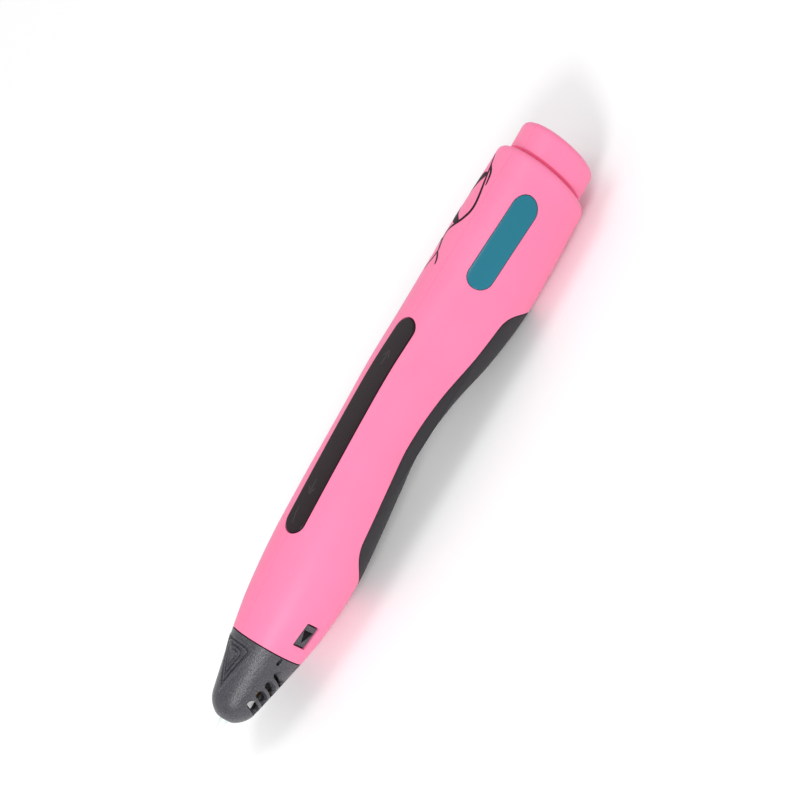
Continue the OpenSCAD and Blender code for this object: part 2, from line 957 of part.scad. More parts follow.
module display_leads() {
    color("orange")
        place()
            for (k = [0:3])
                wire(
                    [
                        [136, -4.2 - k, 4.2 - k], [133.2, -3.4 - k, 5.2], [132.8, -2.6 - k, 8.2],
                        [128, -1.8 - k, 9.2], [122.6, -1.8 - k, 9.2], [120, -1.8 - k, 8.7]
                    ],
                    0.3
                );
}

// ---- nose module --------------------------------------------------------------------------------

module vent() {
    linear_extrude(20)
        rotate(90)
            slot_2d(vent_l, vent_w);
}

module nose_cover() {
    front = 4.0;
    face_r = 2.4;
    nozzle_gap_r = 1.55;
    rim = 26;
    dome_x = 9.2;
    dome_r = nose_r - (rim - dome_x) * tan(nose_angle);
    // The dome is one arc, tangent to the cone, that ends on the edge of the front face
    gap = [dome_x - front, dome_r - face_r];
    lean = gap[0] * sin(nose_angle) - gap[1] * cos(nose_angle);
    arc_r = -(gap * gap) / (2 * lean);
    arc_at = [dome_x + arc_r * sin(nose_angle), dome_r - arc_r * cos(nose_angle)];
    from = atan2(face_r - arc_at[1], front - arc_at[0]);
    to = 90 + nose_angle;
    dome = [for (i = [0:8]) let (a = from + (to - from) * i / 8) arc_at + arc_r * [cos(a), sin(a)]];
    slit_angles = [77, 120];
    color([0.3, 0.3, 0.33])
        place()
            difference() {
                turned(concat(
                    [[front, nozzle_gap_r], [front, face_r]],
                    dome,
                    [
                        [rim, nose_r], [rim, collar_r], [collar_end, collar_r], [collar_end, collar_bore],
                        [25.2, collar_bore], [24.2, 8.3], [9.8, 5.3], [5.6, 3], [5.6, nozzle_gap_r]
                    ]
                ));
                for (s = [-1, 1]) {
                    for (k = [0:3])
                        translate([vent_first + k * vent_pitch, 0, 0])
                            rotate([-s * vent_angle, 0, 0])
                                rotate(s * 20)
                                    vent();
                    for (a = slit_angles)
                        rotate([-s * a, 0, 0])
                            block([23.7, -0.45, 7], [rim + 1, 0.45, 12]);
                    block([28.6, min(s * 6, s * 12), -3.1], [collar_end + 1, max(s * 6, s * 12), 3.1]);
                }
            }
}

module nozzle() {
    color("whitesmoke")
        place()
            turned([
                [0, outlet_r], [0, 0.55], [0.4, 0.75], [4, 1.3], [5.8, 1.3], [5.8, 2.6], [7, 2.6], [7, 2.3],
                [16, 2.3], [16, path_r], [3, path_r], [1.6, outlet_r]
            ]);
}

module heater_core() {
    color("ivory")
        place()
            turned([
                [7.2, 2.35], [7.2, 3.3], [9.6, 3.3], [9.6, 4.6], [12.4, 4.6], [12.4, 3.3], [19.4, 3.3],
                [19.4, 1.65], [16.1, 1.65], [16.1, 2.35]
            ]);
}

module heat_wrap() {
    color("goldenrod")
        place()
            turned([[12.5, 3.32], [12.5, 4.2], [18.8, 4.2], [18.8, 3.32]]);
}

module heat_break() {
    color("silver")
        place()
            turned([[16.1, path_r], [16.1, 1.6], [28.9, 1.6], [28.9, path_r]]);
}

module nose_frame() {
    color("ivory")
        place()
            difference() {
                turned([
                    [19.5, 1.65], [19.5, 3.2], [22.4, 3.2], [22.4, 6.8], [25.1, 7.4], [25.9, 7.4], [25.9, 1.65]
                ]);
                for (a = [45:90:315])
                    rod_x(20, 27, 0.6, contact_r * cos(a), contact_r * sin(a));
            }
}

// A lead from the heater's wrap to the contact board, at angle a round the filament line
module nose_lead(a, start) {
    rotate([a, 0, 0])
        wire(
            [[start, 0, 4.6], [start + 2, 0, 4.65], [start + 4, 0, contact_r], [26, 0, contact_r]],
            0.35,
            up = [0, 1, 0]
        );
}

module heater_leads() {
    color("firebrick")
        place()
            for (a = [45, 225])
                nose_lead(a, 13);
}

module thermistor() {
    color("black")
        place()
            for (a = [135, 315])
                nose_lead(a, 14.6);
    color("black")
        place()
            rotate([135, 0, 0])
                rod_x(12.8, 14.4, 0.7, 0, 4.95);
}

module contact_board() {
    color("seagreen")
        place()
            difference() {
                rod_x(26.02, 27.2, 7.4);
                rod_x(25, 28, 1.68);
            }
}

module contact_pins() {
    color("gold")
        place()
            for (a = [45:90:315])
                rod_x(27.22, 34.5, 0.4, contact_r * cos(a), contact_r * sin(a));
}

// ---- drawing ------------------------------------------------------------------------------------

left_shell();
right_shell();
grip_cover();
case_screws();
feed_key();
key_pin();
key_carrier();
feed_dome();
retract_dome();
main_board();
board_parts();
display_lens();
display_glass();
display_board();
contact_socket();
feed_tube();
feeder_block();
drive_shaft();
bevel_gear();
drive_roller();
idler_lever();
idler_axle();
idler_bearing();
idler_pivot_pin();
idler_spring();
motor_bracket();
bracket_screws();
gearbox();
motor_can();
motor_cap();
output_shaft();
bevel_pinion();
rear_tube();
inlet_bush();
tail_plate();
power_jack();
jack_pin();
left_release_button();
right_release_button();
left_release_spring();
right_release_spring();
motor_leads();
power_leads();
nose_leads();
display_leads();
nose_cover();
nozzle();
heater_core();
heat_wrap();
heat_break();
nose_frame();
heater_leads();
thermistor();
contact_board();
contact_pins();
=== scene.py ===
"""The looks of a three d pen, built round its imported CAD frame. Lengths are millimetres, with x along the
pen from the nozzle tip to the tail and z = 0 on the filament line. placed() turns them into the frame's
metres. Angles round the pen are 0 at its back and grow towards its left side."""
import json
import math
import bmesh
import bpy
import numpy as np
from mathutils import Matrix, Vector, geometry


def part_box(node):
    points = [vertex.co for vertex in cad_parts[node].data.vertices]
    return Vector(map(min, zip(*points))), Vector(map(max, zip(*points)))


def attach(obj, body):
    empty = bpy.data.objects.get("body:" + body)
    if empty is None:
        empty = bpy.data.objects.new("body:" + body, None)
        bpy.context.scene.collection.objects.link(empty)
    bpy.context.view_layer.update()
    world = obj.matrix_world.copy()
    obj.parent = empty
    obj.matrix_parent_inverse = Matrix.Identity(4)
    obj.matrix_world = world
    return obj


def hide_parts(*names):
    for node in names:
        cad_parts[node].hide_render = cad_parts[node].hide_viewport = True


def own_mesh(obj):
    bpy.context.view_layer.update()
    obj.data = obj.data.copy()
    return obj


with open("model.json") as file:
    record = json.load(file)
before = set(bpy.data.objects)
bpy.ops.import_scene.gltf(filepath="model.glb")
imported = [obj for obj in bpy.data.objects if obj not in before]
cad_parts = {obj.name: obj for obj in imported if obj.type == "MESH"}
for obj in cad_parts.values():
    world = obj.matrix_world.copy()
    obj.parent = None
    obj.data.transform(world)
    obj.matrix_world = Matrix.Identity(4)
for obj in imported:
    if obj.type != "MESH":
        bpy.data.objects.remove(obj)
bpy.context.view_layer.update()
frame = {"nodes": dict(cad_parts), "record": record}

# ---- the frame's places -------------------------------------------------------------------------

MM = 0.001
TIP_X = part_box("nozzle")[0][0]
LINE_Z = frame["record"]["mounts"][0]["pos_m"][2]

# The body's sections, as in the CAD model: x, radius, height of the centre above the filament line
SECTIONS = np.array([
    [26, 10.2, 0], [36, 11.87, 0], [51, 12.97, 0.4], [66, 12.65, 1.5], [78, 12.1, 2.5], [90, 11.65, 3.3],
    [104, 12.4, 2.6], [119.5, 13.9, 0.1], [134, 14.7, -1.3], [148, 14.6, -1.5], [164, 13.98, -1.7],
    [172, 13.8, -1.7],
])
LEAN_FROM, LEAN_OVER = 150, 16  # where the sections start to lean with the tail's end, and over how far
BODY_START, NECK_CENTRE, NECK_R, TAIL_LEAN = 26.2, -1.7, 11.3, math.radians(12.5)
NECK_LEVEL_FROM = 164  # from here the centre line is level
NECK_END = 180 - math.tan(TAIL_LEAN) * NECK_R
SHOULDER = NECK_END - 9.3
SHOULDER_START = SHOULDER - 2.4  # where the round shoulder begins
SHOULDER_ROUND, NECK_ROUND = 1.7, 1.8  # radii of the edges of the shoulder and of the neck's end
TAIL_HOLE_R = 8.7
WALL, MOUTH_WALL, COVER_T, COVER_GAP = 1.6, 1.0, 1.9, 0.15
COVER_START, COVER_FULL, COVER_EASE, COVER_END, COVER_EDGE = 48, 63, 126, 138.5, 93
COVER_FRONT_POWER, COVER_BACK_POWER = 2.4, 3.5  # how late the cover's edge turns down at its two ends
KEY_X, KEY_L, KEY_W, KEY_GAP, KEY_FLOOR = 87.1, 63.6, 7.0, 0.2, 11
LENS_X, LENS_L, LENS_W, LENS_ANGLE, LENS_TURN = 146.8, 26.6, 7.2, math.radians(45), 3
LENS_GAP = 0.06
BUTTON_X, BUTTON_L, BUTTON_W, BUTTON_SINK, WINDOW_GAP = 33.85, 6.2, 4.0, 0.6, 0.32
BUTTON_FOOT = 9.0
SEAM_FILLET = 0.17
SCREWS, SCREW_R = ((48.5, 6.4), (130.4, 4.6), (163.5, -6)), 1.95  # their x and height, and a hole's radius
NOSE_R, NOSE_ANGLE, RIM = 10.2, math.radians(12.5), 26
COLLAR_R, COLLAR_BORE, COLLAR_END = 8.8, 7.6, 34
VENTS, VENT_FIRST, VENT_PITCH, VENT_L, VENT_W, VENT_ANGLE, VENT_TURN = 4, 10.3, 3.38, 7.8, 2.3, 107, 20
SLITS, SLIT_X, SLIT_L, SLIT_W = (77, 120), 24.8, 2.2, 0.9
NOTCH_START, NOTCH_STOP, NOTCH_W = 28.6, 36, 6.2
FLAT, NOSE_FLAT = 13, 8  # one radian round the body and the nose, in the flat plan that is triangulated
CREASE = 32  # degrees from which an edge of a new piece is drawn sharp


def placed(points):
    """Pen millimetres to the frame's metres."""
    return np.asarray(points, float) * MM + np.array([TIP_X, 0, LINE_Z])


# ---- curves of the body -------------------------------------------------------------------------

def through(x, column):
    """The smooth cubic through the sections, as the CAD model draws it."""
    x = np.asarray(x, float)
    s = SECTIONS
    last = len(s) - 1
    k = np.clip(np.searchsorted(s[:, 0], x, side="right") - 1, 0, last - 1)

    def slope(i):
        a, b = np.maximum(i - 1, 0), np.minimum(i + 1, last)
        return (s[b, column] - s[a, column]) / (s[b, 0] - s[a, 0])

    h = s[k + 1, 0] - s[k, 0]
    t = (x - s[k, 0]) / h
    ends = s[k, column] * (2 * t**3 - 3 * t**2 + 1) + s[k + 1, column] * (3 * t**2 - 2 * t**3)
    return ends + h * (slope(k) * (t**3 - 2 * t**2 + t) + slope(k + 1) * (t**3 - t**2))


def radius_at(x):
    return through(x, 1)


def centre_at(x):
    return np.where(np.asarray(x) > NECK_LEVEL_FROM, NECK_CENTRE, through(x, 2))


def ease(t):
    """A smooth step from 0 to 1."""
    t = np.clip(t, 0, 1)
    return t * t * (3 - 2 * t)


def back_z(x):
    """Height of the middle of the back."""
    return centre_at(x) + radius_at(x)


def arc(centre, r, start, stop, count):
    """Points of an arc in the plane of x and radius; angles in degrees."""
    a = np.radians(np.linspace(start, stop, count))
    return [(centre[0] + r * math.cos(t), centre[1] + r * math.sin(t)) for t in a]


class Skin:
    """A skin turned round a curved centre line. Rows are (x, radius, inner x, inner radius); u is the
    length along the outside, from the front."""

    def __init__(self, rows, centre, lean=0.0):
        self.rows = np.array(rows, float)
        step = np.hypot(*np.diff(self.rows[:, :2], axis=0).T)
        self.u = np.concatenate([[0], np.cumsum(step)])
        way = np.gradient(self.rows[:, :2], self.u, axis=0)
        way /= np.linalg.norm(way, axis=1)[:, None]
        self.normal = np.stack([-way[:, 1], way[:, 0]], axis=1)
        self.centre, self.lean = centre, lean
        self.length = self.u[-1]

    def column(self, u, values):
        """One of the rows' values at places u."""
        return np.interp(u, self.u, values)

    def u_at(self, x):
        """The place along the skin of an x on its plain stretch, where x only grows."""
        stop = int(np.argmax(np.diff(self.rows[:, 0]) < 1e-9)) or len(self.rows) - 1
        return np.interp(x, self.rows[: stop + 1, 0], self.u[: stop + 1])

    def x_at(self, u):
        return self.column(u, self.rows[:, 0])

    def turn(self, x, r, a):
        """The points at places x, radii r and angles a."""
        up = r * np.cos(a)
        lean = ease((x - LEAN_FROM) / LEAN_OVER) * math.tan(TAIL_LEAN) * self.lean
        return np.stack([x + lean * up, -r * np.sin(a), self.centre(x) + up], axis=1)

    def outer(self, u, a, depth):
        x = self.column(u, self.rows[:, 0]) - depth * self.column(u, self.normal[:, 0])
        r = self.column(u, self.rows[:, 1]) - depth * self.column(u, self.normal[:, 1])
        return self.turn(x, r, a)

    def inner(self, u, a):
        return self.turn(self.column(u, self.rows[:, 2]), self.column(u, self.rows[:, 3]), a)


def case_skin():
    """The case from its mouth over the round shoulder, the groove at the neck's foot and the neck's end."""
    xs = np.linspace(BODY_START, SHOULDER_START, 240)
    wall = MOUTH_WALL + (WALL - MOUTH_WALL) * ease((xs - 37) / 5)
    rows = list(zip(xs, radius_at(xs), xs, radius_at(xs) - wall, strict=True))
    top, r = float(radius_at(SHOULDER_START)), SHOULDER_ROUND
    corner = arc((SHOULDER - r, top - r), r, 86, 3, 12)
    rows += [(x, y, SHOULDER - 2 + 0.2 * i / 12, top - WALL - 0.15 * i) for i, (x, y) in enumerate(corner)]
    inner = NECK_R - WALL
    groove = [(0, 0.3), (0, -0.75), (0.15, -0.9), (0.7, -0.9), (0.85, -0.75), (0.9, 0)]
    rows += [(SHOULDER + x, NECK_R + y, SHOULDER - 1.6 + 0.02 * i, inner) for i, (x, y) in enumerate(groove)]
    rows += [(x, NECK_R, x - 0.3, inner) for x in np.linspace(SHOULDER + 1.0, NECK_END - 2.3, 12)]
    r = NECK_ROUND
    edge = arc((NECK_END - 1.95, NECK_R - r), r, 86, 2, 12)
    rows += [(x, y, NECK_END - 1.9 + 0.01 * i, inner) for i, (x, y) in enumerate(edge)]
    rows += [
        (NECK_END - 0.15, 9.1, NECK_END - 1.7, 9.3),
        (NECK_END - 0.2, TAIL_HOLE_R + 0.08, NECK_END - 1.65, TAIL_HOLE_R + 0.2),
        (NECK_END - 0.3, TAIL_HOLE_R, NECK_END - 1.6, TAIL_HOLE_R),
    ]
    return Skin(rows, centre_at, lean=1.0)


def cover_skin():
    """The grip cover's stretch of the same outside, with its own thickness."""
    xs = np.linspace(BODY_START, SHOULDER_START, 240)
    return Skin(list(zip(xs, radius_at(xs), xs, radius_at(xs) - COVER_T, strict=True)), centre_at, lean=1.0)


# ---- edges that a skin is cut along -------------------------------------------------------------
# An edge knows how far a point lies from it, on the side that stays, and draws itself at any distance.

FILLET_STEPS = (1, 0.75, 0.5, 0.3, 0.15, 0.05, 0)  # the lines along an edge, as shares of its fillet
HOLE_SIGHT, FAR = 1.4, 99.0  # past this angle from its middle a hole counts as this far away
NEAR = 1e-6  # millimetres or radians that count as nothing
COVER_REACH = 1.04  # the cover's edge is drawn a little past the middle of the underside


def stadium(l, w, count):
    """A slot's outline, long along x, from a count of points for each round end."""
    a = np.linspace(-90, 90, count)
    end = np.stack([np.cos(np.radians(a)) * w / 2 + (l - w) / 2, np.sin(np.radians(a)) * w / 2], axis=1)
    side = np.linspace(0, 1, max(4, int((l - w) / 1.2)))[1:-1, None]
    top = end[-1] * (1 - side) + np.array([-end[-1][0], end[-1][1]]) * side
    half = np.concatenate([end, top])
    return np.concatenate([half, -half])


def rounded_box(l, w, r, count):
    """A rectangle's outline with round corners."""
    out = []
    for k in range(4):
        sx, sy = ((1, 1), (-1, 1), (-1, -1), (1, -1))[k]
        for t in np.radians(np.linspace(90 * k, 90 * k + 90, count)):
            out.append((sx * (l / 2 - r) + r * math.cos(t), sy * (w / 2 - r) + r * math.sin(t)))
    return np.array(out)


class Hole:
    """A slot or a rectangle cut along the radius at x and angle, turned by some degrees."""

    def __init__(self, skin, x, angle, l, w, fillet, corner=None, turn=0.0):
        self.skin, self.x, self.angle, self.l, self.w = skin, x, angle, l, w
        self.fillet, self.corner = fillet, w / 2 if corner is None else corner
        self.round = corner is None
        self.cos, self.sin = math.cos(math.radians(turn)), math.sin(math.radians(turn))

    def away(self, u, a):
        x = self.skin.x_at(u)
        r = self.skin.column(u, self.skin.rows[:, 1])
        gap = (a - self.angle + math.pi) % (2 * math.pi) - math.pi
        lx, ly = x - self.x, r * np.sin(gap)
        lx, ly = lx * self.cos + ly * self.sin, ly * self.cos - lx * self.sin
        dx = np.abs(lx) - (self.l / 2 - self.corner)
        dy = np.abs(ly) - (self.w / 2 - self.corner)
        inside = np.minimum(np.maximum(dx, dy), 0)
        away = np.hypot(np.maximum(dx, 0), np.maximum(dy, 0)) + inside - self.corner
        return np.where(np.abs(gap) > HOLE_SIGHT, FAR, away)

    def loop(self, d):
        l, w = self.l + 2 * d, self.w + 2 * d
        flat = stadium(l, w, 13) if self.round else rounded_box(l, w, self.corner + d, 6)
        lx = flat[:, 0] * self.cos - flat[:, 1] * self.sin
        ly = flat[:, 1] * self.cos + flat[:, 0] * self.sin
        x = self.x + lx
        r = self.skin.column(self.skin.u_at(x), self.skin.rows[:, 1])
        return self.skin.u_at(x), self.angle + np.arcsin(np.clip(ly / r, -1, 1)), True


class Line:
    """A straight border: along the skin at an angle, or round it at a place u."""

    def __init__(self, skin, fillet, angle=None, u=None, side=1):
        self.skin, self.fillet, self.angle, self.u, self.side = skin, fillet, angle, u, side

    def away(self, u, a):
        if self.angle is None:
            return self.side * (u - self.u)
        return self.side * (a - self.angle) * self.skin.column(u, self.skin.rows[:, 1])

    def loop(self, d):
        if self.angle is None:
            a = np.radians(np.linspace(-185, 365, 276))
            return np.full(a.shape, self.u + self.side * d), a, False
        u = np.linspace(0, self.skin.length, int(self.skin.length / 0.7))
        return u, self.angle + self.side * d / self.skin.column(u, self.skin.rows[:, 1]), False


class CoverEdge:
    """The long curved edge between the case and the grip cover; side 1 keeps the case, -1 the cover."""

    def __init__(self, skin, fillet, side, gap):
        self.skin, self.fillet, self.side, self.gap = skin, fillet, side, gap
        rise = np.linspace(COVER_REACH, 0, 34)
        fall = np.linspace(0, COVER_REACH, 34)
        crowd = 1 / 1.35  # points lie closer where the edge turns down
        front = COVER_FULL - (COVER_FULL - COVER_START) * rise**crowd
        back = COVER_EASE + (COVER_END - COVER_EASE) * fall**crowd
        x = np.concatenate([front, np.linspace(COVER_FULL, COVER_EASE, 72)[1:-1], back])
        self.curve = np.stack([skin.u_at(x), np.radians(self.edge(x)) * FLAT], axis=1)
        way = np.gradient(self.curve, axis=0)
        way /= np.linalg.norm(way, axis=1)[:, None]
        self.normal = np.stack([way[:, 1], -way[:, 0]], axis=1)

    @staticmethod
    def edge(x):
        """The edge's angle in degrees at a place x."""
        front = np.clip((COVER_FULL - x) / (COVER_FULL - COVER_START), 0, None) ** COVER_FRONT_POWER
        back = np.clip((x - COVER_EASE) / (COVER_END - COVER_EASE), 0, None) ** COVER_BACK_POWER
        return COVER_EDGE + (180 - COVER_EDGE) * (front + back)

    def away(self, u, a):
        a = np.where(a > math.pi, 2 * math.pi - a, a)
        p = np.stack([u, a * FLAT], axis=1)
        best = np.full(len(p), 1e9)
        for i in range(len(self.curve) - 1):
            s, t = self.curve[i], self.curve[i + 1] - self.curve[i]
            f = np.clip(((p - s) @ t) / (t @ t), 0, 1)
            best = np.minimum(best, np.hypot(*(p - s - f[:, None] * t).T))
        on_case = np.degrees(a) < self.edge(self.skin.x_at(u))
        return self.side * np.where(on_case, best, -best) - self.gap

    def loop(self, d):
        line = self.curve + self.side * (self.gap + d) * self.normal
        if self.side > 0:
            return line[:, 0], line[:, 1] / FLAT, False
        line = line[line[:, 1] < math.pi * FLAT]
        other = line[::-1].copy()
        other[:, 1] = 2 * math.pi * FLAT - other[:, 1]
        both = np.concatenate([line, other])
        return both[:, 0], both[:, 1] / FLAT, True


class Mirrored:
    """An edge of the left side, seen on the right."""

    def __init__(self, edge):
        self.edge, self.fillet = edge, edge.fillet

    def away(self, u, a):
        return self.edge.away(u, 2 * math.pi - a)

    def loop(self, d):
        u, a, closed = self.edge.loop(d)
        return u, 2 * math.pi - a, closed


def rounding(away, fillet):
    """How far a round edge has dropped at a distance from it."""
    t = np.clip(away, 0, fillet)
    return fillet - np.sqrt(np.maximum(fillet**2 - (fillet - t) ** 2, 0))


def fill_points(span, edges, step, flat, dense):
    """A grid of (u, angle) points over a span, finer in the dense box and clear of the edges."""
    (u0, u1), (a0, a1) = span
    us = np.linspace(u0, u1, max(2, int((u1 - u0) / step) + 1))
    angles = np.linspace(a0, a1, max(2, int((a1 - a0) * flat / step) + 1))
    fill = np.array([(u, a) for u in us for a in angles])
    if dense is not None:
        (d0, d1), (b0, b1), fine = dense
        box = [(u, a) for u in np.arange(d0, d1, fine) for a in np.arange(b0, b1, fine / flat)]
        outside = (fill[:, 0] < d0) | (fill[:, 0] > d1) | (fill[:, 1] < b0) | (fill[:, 1] > b1)
        fill = np.concatenate([fill[outside], np.array(box)])
    for e in edges:
        away = e.away(fill[:, 0], fill[:, 1])
        fill = fill[away > e.fillet + 0.3 * step]
    return fill


def triangulated(fill, span, edges, flat):
    """Places u, angles and triangles over a span; the edges' lines are in them, what they cut off is not."""
    points = [Vector((u, a * flat)) for u, a in fill]
    lines = []
    for e in edges:
        for f in FILLET_STEPS:
            u, a, closed = e.loop(f * e.fillet)
            first, count = len(points), len(u)
            points += [Vector((p, q * flat)) for p, q in zip(u, a, strict=True)]
            lines += [(first + i, first + (i + 1) % count) for i in range(count if closed else count - 1)]
    flat_points, _, faces, *_ = geometry.delaunay_2d_cdt(points, lines, [], 0, 1e-5)
    plan = np.array([tuple(p) for p in flat_points])
    faces = np.array([list(f) for f in faces])
    (u0, u1), (a0, a1) = span
    middle = plan[faces].mean(axis=1)
    mu, ma = middle[:, 0], middle[:, 1] / flat
    keep = (mu > u0 - NEAR) & (mu < u1 + NEAR) & (ma > a0 - NEAR) & (ma < a1 + NEAR)
    for e in edges:
        keep &= e.away(mu, ma) > -1e-4
    used, faces = np.unique(faces[keep], return_inverse=True)
    return plan[used, 0], plan[used, 1] / flat, faces.reshape(-1, 3)


def open_rim(faces):
    """The edges that have a triangle on one side only."""
    seen = {}
    for p, q in np.concatenate([faces[:, [0, 1]], faces[:, [1, 2]], faces[:, [2, 0]]]):
        pair = (min(p, q), max(p, q))
        seen[pair] = None if pair in seen else (p, q)
    return [e for e in seen.values() if e is not None]


def build_skin(name, skin, span, edges, step, flat=FLAT, relief=None, dense=None):
    """A closed solid: the skin's outer and inner faces over a span of (u, angle), cut along its edges.
    relief says how deep the outside is sunk, and dense is a box of (u, angle) with finer steps."""
    u, a, faces = triangulated(fill_points(span, edges, step, flat, dense), span, edges, flat)
    depth = np.zeros(len(u))
    for e in edges:
        depth = np.maximum(depth, rounding(e.away(u, a), e.fillet))
    if relief is not None:
        depth = depth + relief(u, a)
    verts = placed(np.concatenate([skin.outer(u, a, depth), skin.inner(u, a)]))
    rim = open_rim(faces)
    a0, a1 = span[1]
    if a1 - a0 > 2 * math.pi - NEAR:  # a full turn joins up with itself and has no wall there
        ends = np.abs(np.abs(a - (a0 + a1) / 2) - math.pi) < NEAR
        rim = [(p, q) for p, q in rim if not (ends[p] and ends[q])]
    count = len(u)
    every = [tuple(f) for f in faces] + [tuple(f[::-1] + count) for f in faces]
    every += [(q, p, p + count, q + count) for p, q in rim]
    return solid(name, verts, every)


def solid(name, verts, faces):
    """A closed mesh object with smooth faces and crisp creases."""
    mesh = bpy.data.meshes.new(name)
    verts = [tuple(float(c) for c in v) for v in verts]
    mesh.from_pydata(verts, [], [tuple(int(i) for i in f) for f in faces])
    form = bmesh.new()
    form.from_mesh(mesh)
    bmesh.ops.remove_doubles(form, verts=form.verts, dist=5e-8)
    bmesh.ops.dissolve_degenerate(form, edges=form.edges, dist=1e-8)
    bmesh.ops.recalc_face_normals(form, faces=form.faces)
    form.to_mesh(mesh)
    form.free()
    mesh.shade_smooth()
    mesh.set_sharp_from_angle(angle=math.radians(CREASE))
    piece = bpy.data.objects.new(name, mesh)
    bpy.context.scene.collection.objects.link(piece)
    return piece


def ringed(name, rings):
    """A closed solid from rings of equal counts, capped at both ends."""
    count = len(rings[0])
    verts = np.concatenate([placed(r) for r in rings])
    faces = [tuple(range(count))[::-1]]
    for k in range(len(rings) - 1):
        for i in range(count):
            j = (i + 1) % count
            faces.append((k * count + i, k * count + j, (k + 1) * count + j, (k + 1) * count + i))
    faces.append(tuple(range((len(rings) - 1) * count, len(rings) * count)))
    return solid(name, verts, faces)


# ---- materials ----------------------------------------------------------------------------------

def material(name, colour, roughness, metal=0.0, coat=0.0, scatter=0.0, gloss=0.5):
    """A principled material and what its detail is hung on."""
    m = bpy.data.materials.new(name)
    m.use_nodes = True
    tree = m.node_tree
    shader = tree.nodes["Principled BSDF"]
    shader.inputs["Base Color"].default_value = (*colour, 1)
    shader.inputs["Roughness"].default_value = roughness
    shader.inputs["Metallic"].default_value = metal
    shader.inputs["Specular IOR Level"].default_value = gloss
    shader.inputs["Coat Weight"].default_value = coat
    shader.inputs["Coat Roughness"].default_value = 0.12
    shader.inputs["Subsurface Weight"].default_value = scatter
    shader.inputs["Subsurface Scale"].default_value = 0.001
    return m, tree, shader


def noise(tree, scale, detail=3.0, rough=0.55, stretch=(1, 1, 1)):
    """Noise in the object's own metres; scale is its cells per metre."""
    where = tree.nodes.new("ShaderNodeTexCoord")
    turn = tree.nodes.new("ShaderNodeMapping")
    turn.inputs["Scale"].default_value = stretch
    n = tree.nodes.new("ShaderNodeTexNoise")
    n.inputs["Scale"].default_value = scale
    n.inputs["Detail"].default_value = detail
    n.inputs["Roughness"].default_value = rough
    tree.links.new(where.outputs["Object"], turn.inputs["Vector"])
    tree.links.new(turn.outputs["Vector"], n.inputs["Vector"])
    return n.outputs["Fac"]


def spread(tree, value, low, high):
    """The middle half of a value from 0 to 1, spread over a range."""
    r = tree.nodes.new("ShaderNodeMapRange")
    r.inputs["From Min"].default_value = 0.25
    r.inputs["From Max"].default_value = 0.75
    r.inputs["To Min"].default_value = low
    r.inputs["To Max"].default_value = high
    tree.links.new(value, r.inputs["Value"])
    return r.outputs["Result"]


def tint(tree, shader, value, dark, light, low=0.3, high=0.7):
    """Colour that drifts between two tones as a value goes from low to high."""
    ramp = tree.nodes.new("ShaderNodeValToRGB")
    ramp.color_ramp.elements[0].position = low
    ramp.color_ramp.elements[0].color = (*dark, 1)
    ramp.color_ramp.elements[1].position = high
    ramp.color_ramp.elements[1].color = (*light, 1)
    tree.links.new(value, ramp.inputs["Fac"])
    tree.links.new(ramp.outputs["Color"], shader.inputs["Base Color"])


def bump(tree, shader, layers):
    """Relief from (height value, depth in metres) layers, one over the other."""
    last = None
    for value, depth in layers:
        b = tree.nodes.new("ShaderNodeBump")
        b.inputs["Strength"].default_value = 1.0
        b.inputs["Distance"].default_value = depth
        tree.links.new(value, b.inputs["Height"])
        if last is not None:
            tree.links.new(last, b.inputs["Normal"])
        last = b.outputs["Normal"]
    tree.links.new(last, shader.inputs["Normal"])


def varied(name, colour, roughness, grain, depth, drift=0.06, stretch=(1, 1, 1), **more):
    """Moulded or machined stock: a slow drift of tone and gloss, and a fine grain."""
    m, tree, shader = material(name, colour, roughness, **more)
    slow = noise(tree, 60, 2)
    fine = noise(tree, grain, 4, 0.6, stretch)
    light = tuple(min(1.0, c * (1 + drift)) for c in colour)
    dark = tuple(c * (1 - drift) for c in colour)
    tint(tree, shader, slow, dark, light)
    tree.links.new(spread(tree, fine, roughness - 0.05, roughness + 0.06), shader.inputs["Roughness"])
    bump(tree, shader, [(fine, depth)])
    return m


def spark_plastic(name, colour, glint_tone, roughness, depth):
    """Plastic from a spark-eroded mould; pale spots painted into its colour stand in for the glints of its
    sparkle, as painted highlights, and bump the face a little.
    """
    m, tree, shader = material(name, colour, roughness, gloss=0.6)
    pits = noise(tree, 2200, 2, 0.5)
    # Painted highlights: pale spots in the base colour that stand in for the sparkle's glints
    glint_spots = noise(tree, 5000, 3, 0.7)
    tint(tree, shader, glint_spots, colour, glint_tone, 0.53, 0.7)
    tree.links.new(spread(tree, pits, roughness - 0.08, roughness + 0.1), shader.inputs["Roughness"])
    bump(tree, shader, [(pits, depth), (glint_spots, depth * 0.5)])
    return m


def lens_material():
    """Tinted window: deep colour that drifts a little in tone, under a glossy face."""
    m, tree, shader = material("lens", (0.012, 0.165, 0.235), 0.2, gloss=0.3)
    tint(tree, shader, noise(tree, 40, 2), (0.011, 0.157, 0.223), (0.014, 0.174, 0.247))
    tree.links.new(spread(tree, noise(tree, 900, 3), 0.18, 0.24), shader.inputs["Roughness"])
    bump(tree, shader, [(noise(tree, 500, 2), 0.000002)])
    return m


